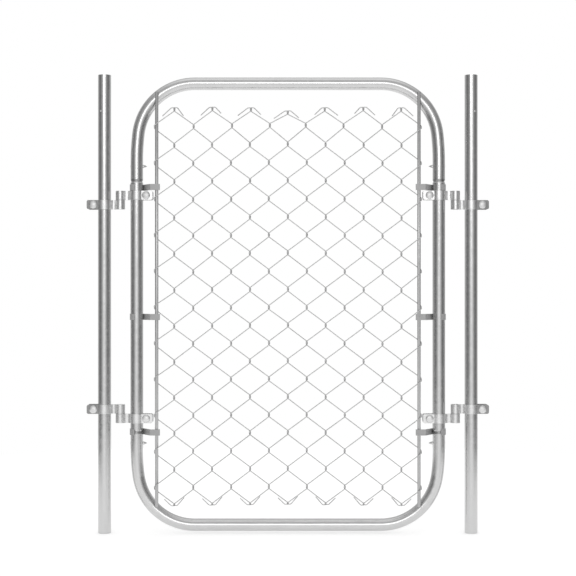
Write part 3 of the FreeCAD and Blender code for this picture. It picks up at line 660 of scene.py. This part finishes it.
def bloom_group():
    """Dull patches of weathered zinc: the upper part of a soft noise, broken by a finer one."""
    tree, entry, leave = new_group(
        "Dull bloom",
        {"Vector": (VECTOR, None), "Patches per metre": (FLOAT, 14), "Amount": (FLOAT, 0.5)},
        {"Mask": FLOAT},
    )
    noise = add_node(
        tree,
        "ShaderNodeTexNoise",
        {
            "Vector": entry["Vector"],
            "Scale": entry["Patches per metre"],
            "Detail": 6,
            "Roughness": 0.65,
        },
    )
    soft = add_node(
        tree,
        "ShaderNodeMapRange",
        {"Value": noise.outputs["Fac"], "From Min": 0.5, "From Max": 0.72},
        interpolation_type="SMOOTHSTEP",
    )
    fill(tree, leave["Mask"], calc(tree, "MULTIPLY", soft.outputs["Result"], entry["Amount"]))
    return tree


SPANGLE, BLOOM = spangle_group(), bloom_group()
FLAT_STREAKS, TUBE_STREAKS = flat_streak_group(), tube_streak_group()


def place_group(tree, group, **inputs):
    """The outputs of a group in a material, its inputs filled by name."""
    node = add_node(tree, "ShaderNodeGroup", node_tree=group)
    for key, source in inputs.items():
        fill(tree, node.inputs[key.replace("_", " ")], source)
    return node.outputs


def zinc(
    name,
    grey,
    roughness,
    cells,
    spangle,
    streaks,
    per_metre,
    bloom,
    loop=None,
    bump=0.15,
    metal=1.0,
    cuts=(),
    outer=None,
):
    """A zinc finish: grey metal with crystals, lengthwise streaks and dull patches.

    grey is the plain tone, spangle and streaks are how far they lighten and darken it, and
    bloom how far a dull patch dulls it. A metre has that many cells and streaks across it.
    loop is the middle and half size of the tube's rectangle, cuts are the heights of cut ends,
    each with a ring of dulled zinc and painted shade, and past outer, a distance from the middle
    of the gate, the finish is darkened with painted shade and made rougher.
    """
    material = bpy.data.materials.new(name)
    material.use_nodes = True
    tree = material.node_tree
    tree.nodes.clear()
    place = add_node(tree, "ShaderNodeTexCoord").outputs["Object"]
    crystal = place_group(tree, SPANGLE, Vector=place, Cells_per_metre=cells)
    grain = {"Vector": place, "Streaks_per_metre": per_metre}
    if loop:
        grain |= {"Middle": loop[0], "Half": loop[1]}
    streak = place_group(tree, TUBE_STREAKS if loop else FLAT_STREAKS, **grain)["Shade"]
    dull = place_group(tree, BLOOM, Vector=place, Amount=bloom)["Mask"]
    lighter = calc(tree, "MULTIPLY", calc(tree, "SUBTRACT", crystal["Shade"], 0.5), spangle)
    drawn = calc(tree, "MULTIPLY", calc(tree, "SUBTRACT", streak, 0.5), streaks * 2)
    tone = calc(tree, "ADD", calc(tree, "ADD", lighter, drawn), 1)
    tone = calc(tree, "SUBTRACT", tone, calc(tree, "MULTIPLY", dull, DULL_TONE))
    tone = calc(tree, "MULTIPLY", tone, grey)
    matt = calc(tree, "MULTIPLY_ADD", dull, DULL_ROUGHNESS, roughness)
    matt = calc(tree, "MULTIPLY_ADD", crystal["Shade"], CRYSTAL_ROUGHNESS, matt)
    own = add_node(tree, "ShaderNodeSeparateXYZ", {"Vector": place}).outputs
    # Ring at each cut end: rougher, and darkened as painted shade in the seam, partly dulled cut
    # zinc.
    for cut in cuts:
        off = calc(tree, "ABSOLUTE", calc(tree, "SUBTRACT", own["Z"], cut))
        ring = add_node(
            tree,
            "ShaderNodeMapRange",
            {"Value": off, "From Min": RING_GONE, "From Max": RING_FULL},
        ).outputs["Result"]
        matt = calc(tree, "MULTIPLY_ADD", ring, RING_ROUGHNESS, matt)
        tone = calc(tree, "MULTIPLY", tone, calc(tree, "MULTIPLY_ADD", ring, RING_PAINTED_SHADE, 1))
    # Past outer the finish is darkened with painted shade and made rougher.
    if outer:
        off = calc(tree, "ABSOLUTE", calc(tree, "SUBTRACT", own["X"], POSTS_MIDDLE[0]))
        share = add_node(
            tree,
            "ShaderNodeMapRange",
            {"Value": off, "From Min": outer, "From Max": outer + EAR_FADE},
        ).outputs["Result"]
        matt = calc(tree, "MULTIPLY_ADD", share, EAR_ROUGHNESS, matt)
        tone = calc(tree, "MULTIPLY", tone, calc(tree, "MULTIPLY_ADD", share, EAR_PAINTED_SHADE, 1))
    height = calc(tree, "MULTIPLY_ADD", streak, STREAK_RELIEF, crystal["Relief"])
    relief = add_node(
        tree, "ShaderNodeBump", {"Height": height, "Strength": bump, "Distance": RELIEF_DEPTH}
    )
    shader = add_node(
        tree,
        "ShaderNodeBsdfPrincipled",
        {
            "Base Color": tone,
            "Metallic": metal,
            "Roughness": matt,
            "Normal": relief.outputs["Normal"],
        },
    )
    add_node(tree, "ShaderNodeOutputMaterial", {"Surface": shader.outputs["BSDF"]})
    return material


POST_ZINC = zinc(
    "Galvanised post tube",
    grey=0.62,
    roughness=0.2,
    cells=95,
    spangle=0.05,
    streaks=0.07,
    per_metre=420,
    bloom=0.16,
    loop=POST_LOOP,
    bump=0.04,
)
FRAME_ZINC = zinc(
    "Galvanised frame tube",
    grey=0.62,
    roughness=0.19,
    cells=95,
    spangle=0.05,
    streaks=0.07,
    per_metre=420,
    bloom=0.16,
    loop=FRAME_LOOP,
    bump=0.04,
    # Cut ends of the bows, each with a ring of painted shade in the seam and dulled zinc.
    cuts=(TOP_BOW_END + RING_INSET, BOTTOM_BOW_END - RING_INSET),
)
BAR_ZINC = zinc(
    "Galvanised flat bar",
    grey=0.46,
    roughness=0.33,
    cells=140,
    spangle=0.08,
    streaks=0.08,
    per_metre=700,
    bloom=0.4,
    bump=0.08,
)
WIRE_ZINC = zinc(
    "Galvanised wire",
    grey=0.55,
    roughness=0.36,
    cells=220,
    spangle=0.1,
    streaks=0.1,
    per_metre=500,
    bloom=0.5,
)
STRAP_ZINC = zinc(
    "Bright zinc strap",
    grey=0.74,
    roughness=0.27,
    cells=260,
    spangle=0.06,
    streaks=0.14,
    per_metre=600,
    bloom=0.45,
    # Past this the post clamps' ears are darkened with painted shade.
    outer=POSTS_HALF + EAR_START,
)
BOLT_ZINC = zinc(
    "Bright zinc bolt",
    grey=0.72,
    roughness=0.4,
    cells=340,
    spangle=0.06,
    streaks=0.06,
    per_metre=700,
    bloom=0.35,
    bump=0.08,
)
CLIP_ZINC = zinc(
    "Dull zinc strip",
    grey=0.43,
    roughness=0.45,
    cells=160,
    spangle=0.08,
    streaks=0.12,
    per_metre=450,
    bloom=0.6,
    metal=0.25,
)
SCREW_ZINC = zinc(
    "Zinc screw",
    grey=0.6,
    roughness=0.18,
    cells=340,
    spangle=0.06,
    streaks=0.06,
    per_metre=700,
    bloom=0.35,
    bump=0.08,
)

# The tubes and pins keep their shapes.
for name, node in NODES.items():
    finish = BOLT_ZINC
    if name.endswith("_post"):
        finish = POST_ZINC
    elif name.endswith(("_bow", "_stile")):
        finish = FRAME_ZINC
    node.material_slots[0].material = finish

# The woven wires. Each link is shifted a little in X and Z, by column and level.
random = np.random.default_rng(JITTER_SEED)
jitter = random.uniform(-UNEVENNESS, UNEVENNESS, (WIRES + 1, 2 * ROWS + 1, 2))
jitter[[0, -1], :, 0] = 0
pull = np.array(HEAD_PULL + (0,) + HEAD_PULL[::-1])
jitter[:, -2] += np.stack([pull * np.sign(WIRES / 2 - np.arange(WIRES + 1)), pull], axis=1)
wires = [wire_rings(wire_corners(number, jitter)) for number in range(WIRES)]
add_piece(
    "woven_wires", ring_mesh("woven_wires", wires), WIRE_ZINC, "gate", "chain_link_fabric"
)

# The tension bars.
for side in SIDES:
    bar = f"{side}_tension_bar"
    mesh = ring_mesh(f"{bar}_rolled", [bar_rings(bar)])
    add_piece(f"{bar}_rolled", mesh, BAR_ZINC, "gate", bar)

# The bolts, clamps and clips.
for level in LEVELS:
    for side in SIDES:
        for part, body in (("post", "posts"), ("frame", "gate")):
            bolt = f"{level}_{side}_{part}_bolt"
            low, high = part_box(bolt)
            ear_back = high[1] - BOLT_TAIL - NUT_DEPTH
            rings = bolt_rings(low[1], high[0] - low[0], ear_back, high[1])
            middle = centre_of(bolt)
            rings = rings + np.array([middle[0], 0, middle[2]])
            mesh = ring_mesh(f"{bolt}_threaded", [rings], sharp=30)
            add_piece(f"{bolt}_threaded", mesh, BOLT_ZINC, body, bolt)
            rounded_copy(f"{level}_{side}_{part}_clamp", body, STRAP_ZINC, CLAMP_EDGE)
for level in ("upper", "middle", "lower"):
    for side in SIDES:
        rounded_copy(f"{level}_{side}_clip", "gate", CLIP_ZINC, CLIP_EDGE)

# The screws.
for level in LEVELS:
    for side, direction in zip(SIDES, (1, -1)):
        screw = f"{level}_{side}_screw"
        mesh = ring_mesh(f"{screw}_pointed", [screw_rings(screw, direction)], sharp=30)
        add_piece(f"{screw}_pointed", mesh, SCREW_ZINC, "gate", screw)

# The rivets in the posts.
for side, direction in zip(SIDES, (-1, 1)):
    rings = rivet_rings(f"{side}_post", direction)
    rivet = add_piece(
        f"{side}_post_rivet", ring_mesh(f"{side}_post_rivet", [rings]), BOLT_ZINC, "posts"
    )

# Floor: pale, lit, and bright enough to meet the white round it.
angle = np.linspace(0, TURN, FLOOR_SIDES, endpoint=False)
rim = np.stack([np.cos(angle), np.sin(angle), 0 * angle], axis=1) * FLOOR_RADIUS
mesh = bpy.data.meshes.new("floor")
mesh.from_pydata(rim + np.array([CAMERA_PLACE[0], 0, 0]), [], [list(range(len(rim)))])
floor = bpy.data.objects.new("floor", mesh)
bpy.context.scene.collection.objects.link(floor)
material = bpy.data.materials.new("Pale floor")
material.use_nodes = True
tree = material.node_tree
tree.nodes.clear()
path = add_node(tree, "ShaderNodeLightPath").outputs
seen = calc(tree, "MAXIMUM", path["Is Camera Ray"], path["Is Glossy Ray"])
shader = add_node(
    tree,
    "ShaderNodeBsdfPrincipled",
    {
        "Base Color": PALE,
        "Roughness": FLOOR_ROUGHNESS,
        "Specular IOR Level": 0.0,
        "Emission Color": WHITE,
        "Emission Strength": calc(tree, "MULTIPLY", seen, FLOOR_GLOW),
    },
)
add_node(tree, "ShaderNodeOutputMaterial", {"Surface": shader.outputs["BSDF"]})
mesh.materials.append(material)

# World: white behind the object. Metal sees a studio that is bright ahead, above and behind
# and darker to the sides.
world = bpy.data.worlds.new("Studio")
bpy.context.scene.world = world
world.use_nodes = True
tree = world.node_tree
tree.nodes.clear()
way = add_node(tree, "ShaderNodeTexCoord").outputs["Generated"]
parts = add_node(tree, "ShaderNodeSeparateXYZ", {"Vector": way}).outputs
azimuth = calc(tree, "ARCTAN2", parts["X"], calc(tree, "MULTIPLY", parts["Y"], -1))
azimuth = calc(tree, "DIVIDE", calc(tree, "ABSOLUTE", azimuth), math.pi)
rise = calc(tree, "DIVIDE", calc(tree, "ARCSINE", parts["Z"]), math.pi / 2)
around = ramp(tree, azimuth, [(degrees / 180, grey) for degrees, grey in STUDIO_AROUND])
upward = ramp(tree, rise, [(degrees / 90, grey) for degrees, grey in STUDIO_UPWARD])
above = add_node(
    tree,
    "ShaderNodeMapRange",
    {"Value": rise, "From Min": UPWARD_START / 90, "From Max": UPWARD_FULL / 90},
    interpolation_type="SMOOTHSTEP",
).outputs["Result"]
studio = mix(tree, above, around, upward)
path = add_node(tree, "ShaderNodeLightPath").outputs
white = calc(tree, "MAXIMUM", path["Is Camera Ray"], path["Is Transmission Ray"])
colour = mix(tree, path["Is Glossy Ray"], PALE, studio)
colour = mix(tree, white, colour, WHITE)
background = add_node(tree, "ShaderNodeBackground", {"Color": colour, "Strength": 1.0})
add_node(tree, "ShaderNodeOutputWorld", {"Surface": background.outputs["Background"]})

# Lamp: a large soft panel far off behind the camera.
panel = bpy.data.lights.new("Front panel", "AREA")
panel.shape = "RECTANGLE"
panel.size = LAMP_WIDTH
panel.size_y = LAMP_HEIGHT
panel.energy = LAMP_POWER
lamp = bpy.data.objects.new("Front panel", panel)
lamp.location = LAMP_PLACE
lamp.rotation_euler = (LAMP_TILT, 0, 0)
bpy.context.scene.collection.objects.link(lamp)

# Camera.
view = bpy.data.cameras.new("Camera")
view.lens = CAMERA_LENS
camera = bpy.data.objects.new("Camera", view)
camera.location = CAMERA_PLACE
camera.rotation_euler = (math.radians(90), 0, 0)
bpy.context.scene.collection.objects.link(camera)
bpy.context.scene.camera = camera
bpy.context.scene.view_settings.view_transform = "Standard"
